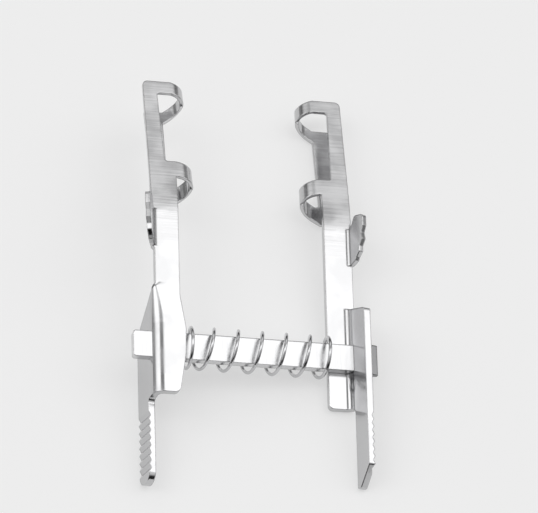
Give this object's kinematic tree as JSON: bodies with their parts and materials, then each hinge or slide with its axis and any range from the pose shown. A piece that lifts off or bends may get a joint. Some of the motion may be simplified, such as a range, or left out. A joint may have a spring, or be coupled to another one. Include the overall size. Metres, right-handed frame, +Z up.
{
  "type": "eye speculum",
  "caption": "Self-retaining eye speculum: a flat crossbar carries two folded sheet arms with thumb grips and windowed lid hooks, pushed apart by a coil spring on the bar.",
  "frame": {"origin": "centre of the bounding box's underside, on the table that the instrument lies on", "axes": "+X along the crossbar, from the fixed left arm to the sliding right arm; +Y along the arms, from the thumb grips to the lid hooks; +Z up, away from the table"},
  "size_m": [0.0358, 0.0638, 0.0149],
  "materials": {
    "arm_steel": "satin-ground stainless sheet",
    "bar_steel": "fine-ground stainless bar",
    "spring_wire": "drawn stainless spring wire"
  },
  "bodies": {
    "fixed_arm": {"left_arm": "arm_steel", "crossbar": "bar_steel", "spring": "spring_wire"},
    "sliding_arm": {"right_arm": "arm_steel"}
  },
  "joints": [
    {"name": "arm_slide", "type": "slide", "parent": "fixed_arm", "child": "sliding_arm", "axis": [0.9882, 0, -0.1532], "range_m": [-0.0155, 0.0013], "stiffness_N_per_m": 80, "deforming": ["spring"]}
  ]
}
